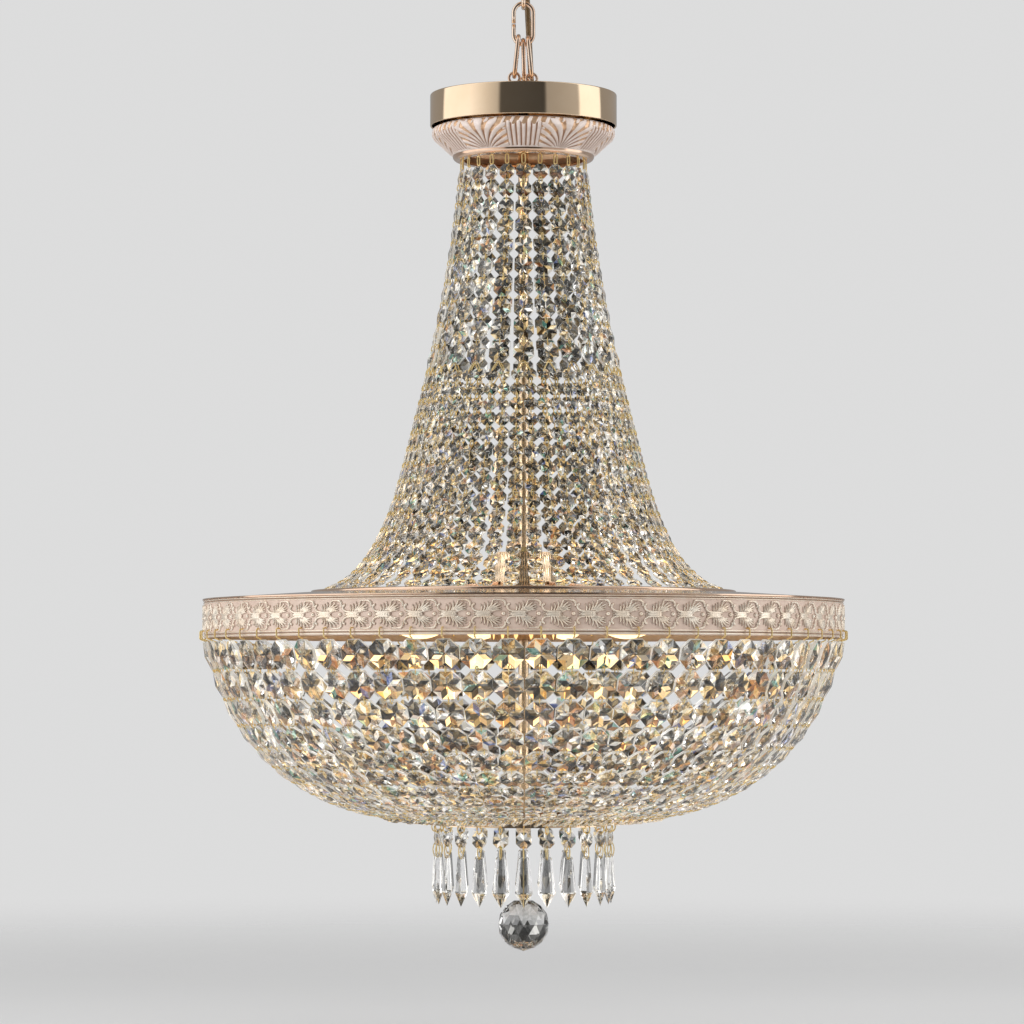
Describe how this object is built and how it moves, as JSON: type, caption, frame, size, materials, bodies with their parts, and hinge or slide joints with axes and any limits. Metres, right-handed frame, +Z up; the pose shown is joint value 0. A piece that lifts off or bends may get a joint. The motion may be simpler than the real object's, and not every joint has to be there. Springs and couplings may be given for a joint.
{
  "type": "crystal chandelier",
  "caption": "Hanging bead chandelier: drum cap and crown on a short chain, bead tent to a wide ornamented ring, bead bowl below with a fringe of drops and a ball.",
  "frame": {"origin": "middle of the bracket's face on the ceiling", "axes": "+Z up, along the chandelier's own axis; -Y towards the picture's camera, +X to its right"},
  "size_m": [0.605, 0.6044, 1.0212],
  "materials": {
    "steel": "satin",
    "polished_gold": "polished",
    "gold_wire": "polished",
    "painted_ornament": "satin",
    "painted_crown": "satin",
    "crystal": "polished",
    "lamp_glass": "gloss",
    "lamp_metal": "satin",
    "socket": "matte",
    "lead": "gloss",
    "terminal": "matte"
  },
  "bodies": {
    "ceiling_fitting": {"ceiling_bracket": "steel", "ceiling_stem": "steel", "stem_nuts": "steel", "terminal_block": "terminal", "ceiling_canopy": "polished_gold", "canopy_collar": "polished_gold", "ceiling_loop": "polished_gold", "power_cable": "lead"},
    "upper_link": {"chain_link_upper": "polished_gold"},
    "lower_link": {"chain_link_lower": "polished_gold"},
    "chandelier": {"bridle_links": "polished_gold", "eye_screws": "polished_gold", "cable_gland": "polished_gold", "top_cap": "polished_gold", "crown": "painted_crown", "crown_lip": "polished_gold", "central_rod": "polished_gold", "rod_nuts": "polished_gold", "hub": "polished_gold", "ring_arms": "polished_gold", "ring_band": "painted_ornament", "ring_cover": "polished_gold", "lamp_sockets": "socket", "bulb_bases": "lamp_metal", "bulbs": "lamp_glass", "lamp_leads": "lead", "tent_hooks": "gold_wire", "tent_upper_beads": "crystal", "tent_lower_beads": "crystal", "bead_pins": "gold_wire", "bowl_hooks": "gold_wire", "bowl_beads": "crystal", "bottom_plate": "polished_gold", "bottom_finial": "polished_gold"},
    "ball": {"ball_hanger": "gold_wire", "crystal_ball": "crystal"},
    "pendant_01": {"pendant_01": "crystal"},
    "pendant_02": {"pendant_02": "crystal"},
    "pendant_03": {"pendant_03": "crystal"},
    "pendant_04": {"pendant_04": "crystal"},
    "pendant_05": {"pendant_05": "crystal"},
    "pendant_06": {"pendant_06": "crystal"},
    "pendant_07": {"pendant_07": "crystal"},
    "pendant_08": {"pendant_08": "crystal"},
    "pendant_09": {"pendant_09": "crystal"},
    "pendant_10": {"pendant_10": "crystal"},
    "pendant_11": {"pendant_11": "crystal"},
    "pendant_12": {"pendant_12": "crystal"},
    "pendant_13": {"pendant_13": "crystal"},
    "pendant_14": {"pendant_14": "crystal"},
    "pendant_15": {"pendant_15": "crystal"},
    "pendant_16": {"pendant_16": "crystal"},
    "pendant_17": {"pendant_17": "crystal"},
    "pendant_18": {"pendant_18": "crystal"},
    "pendant_19": {"pendant_19": "crystal"},
    "pendant_20": {"pendant_20": "crystal"},
    "pendant_21": {"pendant_21": "crystal"},
    "pendant_22": {"pendant_22": "crystal"},
    "pendant_23": {"pendant_23": "crystal"},
    "pendant_24": {"pendant_24": "crystal"}
  },
  "joints": [
    {"name": "upper_link_swing", "type": "hinge", "parent": "ceiling_fitting", "child": "upper_link", "pos_m": [0, 0, -0.1015], "axis": [1, 0, 0], "range_deg": [-12, 12], "deforming": ["power_cable"]},
    {"name": "lower_link_swing", "type": "hinge", "parent": "upper_link", "child": "lower_link", "pos_m": [0, 0, -0.1357], "axis": [0, 1, 0], "range_deg": [-12, 12]},
    {"name": "chandelier_swing", "type": "hinge", "parent": "lower_link", "child": "chandelier", "pos_m": [0, 0, -0.1704], "axis": [1, 0, 0], "range_deg": [-8, 8]},
    {"name": "ball_swing", "type": "hinge", "parent": "chandelier", "child": "ball", "pos_m": [0, 0, -0.9209], "axis": [1, 0, 0], "range_deg": [-20, 20]},
    {"name": "pendant_01_swing", "type": "hinge", "parent": "chandelier", "child": "pendant_01", "pos_m": [0.0815, 0, -0.9034], "axis": [0, -1, 0], "range_deg": [-12, 24]},
    {"name": "pendant_02_swing", "type": "hinge", "parent": "chandelier", "child": "pendant_02", "pos_m": [0.07872, 0.02109, -0.9034], "axis": [0.2588, -0.9659, 0], "range_deg": [-12, 24]},
    {"name": "pendant_03_swing", "type": "hinge", "parent": "chandelier", "child": "pendant_03", "pos_m": [0.07058, 0.04075, -0.9034], "axis": [0.5, -0.866, 0], "range_deg": [-12, 24]},
    {"name": "pendant_04_swing", "type": "hinge", "parent": "chandelier", "child": "pendant_04", "pos_m": [0.05763, 0.05763, -0.9034], "axis": [0.7071, -0.7071, 0], "range_deg": [-12, 24]},
    {"name": "pendant_05_swing", "type": "hinge", "parent": "chandelier", "child": "pendant_05", "pos_m": [0.04075, 0.07058, -0.9034], "axis": [0.866, -0.5, 0], "range_deg": [-12, 24]},
    {"name": "pendant_06_swing", "type": "hinge", "parent": "chandelier", "child": "pendant_06", "pos_m": [0.02109, 0.07872, -0.9034], "axis": [0.9659, -0.2588, 0], "range_deg": [-12, 24]},
    {"name": "pendant_07_swing", "type": "hinge", "parent": "chandelier", "child": "pendant_07", "pos_m": [0, 0.0815, -0.9034], "axis": [1, 0, 0], "range_deg": [-12, 24]},
    {"name": "pendant_08_swing", "type": "hinge", "parent": "chandelier", "child": "pendant_08", "pos_m": [-0.02109, 0.07872, -0.9034], "axis": [0.9659, 0.2588, 0], "range_deg": [-12, 24]},
    {"name": "pendant_09_swing", "type": "hinge", "parent": "chandelier", "child": "pendant_09", "pos_m": [-0.04075, 0.07058, -0.9034], "axis": [0.866, 0.5, 0], "range_deg": [-12, 24]},
    {"name": "pendant_10_swing", "type": "hinge", "parent": "chandelier", "child": "pendant_10", "pos_m": [-0.05763, 0.05763, -0.9034], "axis": [0.7071, 0.7071, 0], "range_deg": [-12, 24]},
    {"name": "pendant_11_swing", "type": "hinge", "parent": "chandelier", "child": "pendant_11", "pos_m": [-0.07058, 0.04075, -0.9034], "axis": [0.5, 0.866, 0], "range_deg": [-12, 24]},
    {"name": "pendant_12_swing", "type": "hinge", "parent": "chandelier", "child": "pendant_12", "pos_m": [-0.07872, 0.02109, -0.9034], "axis": [0.2588, 0.9659, 0], "range_deg": [-12, 24]},
    {"name": "pendant_13_swing", "type": "hinge", "parent": "chandelier", "child": "pendant_13", "pos_m": [-0.0815, 0, -0.9034], "axis": [0, 1, 0], "range_deg": [-12, 24]},
    {"name": "pendant_14_swing", "type": "hinge", "parent": "chandelier", "child": "pendant_14", "pos_m": [-0.07872, -0.02109, -0.9034], "axis": [-0.2588, 0.9659, 0], "range_deg": [-12, 24]},
    {"name": "pendant_15_swing", "type": "hinge", "parent": "chandelier", "child": "pendant_15", "pos_m": [-0.07058, -0.04075, -0.9034], "axis": [-0.5, 0.866, 0], "range_deg": [-12, 24]},
    {"name": "pendant_16_swing", "type": "hinge", "parent": "chandelier", "child": "pendant_16", "pos_m": [-0.05763, -0.05763, -0.9034], "axis": [-0.7071, 0.7071, 0], "range_deg": [-12, 24]},
    {"name": "pendant_17_swing", "type": "hinge", "parent": "chandelier", "child": "pendant_17", "pos_m": [-0.04075, -0.07058, -0.9034], "axis": [-0.866, 0.5, 0], "range_deg": [-12, 24]},
    {"name": "pendant_18_swing", "type": "hinge", "parent": "chandelier", "child": "pendant_18", "pos_m": [-0.02109, -0.07872, -0.9034], "axis": [-0.9659, 0.2588, 0], "range_deg": [-12, 24]},
    {"name": "pendant_19_swing", "type": "hinge", "parent": "chandelier", "child": "pendant_19", "pos_m": [0, -0.0815, -0.9034], "axis": [-1, 0, 0], "range_deg": [-12, 24]},
    {"name": "pendant_20_swing", "type": "hinge", "parent": "chandelier", "child": "pendant_20", "pos_m": [0.02109, -0.07872, -0.9034], "axis": [-0.9659, -0.2588, 0], "range_deg": [-12, 24]},
    {"name": "pendant_21_swing", "type": "hinge", "parent": "chandelier", "child": "pendant_21", "pos_m": [0.04075, -0.07058, -0.9034], "axis": [-0.866, -0.5, 0], "range_deg": [-12, 24]},
    {"name": "pendant_22_swing", "type": "hinge", "parent": "chandelier", "child": "pendant_22", "pos_m": [0.05763, -0.05763, -0.9034], "axis": [-0.7071, -0.7071, 0], "range_deg": [-12, 24]},
    {"name": "pendant_23_swing", "type": "hinge", "parent": "chandelier", "child": "pendant_23", "pos_m": [0.07058, -0.04075, -0.9034], "axis": [-0.5, -0.866, 0], "range_deg": [-12, 24]},
    {"name": "pendant_24_swing", "type": "hinge", "parent": "chandelier", "child": "pendant_24", "pos_m": [0.07872, -0.02109, -0.9034], "axis": [-0.2588, -0.9659, 0], "range_deg": [-12, 24]}
  ]
}
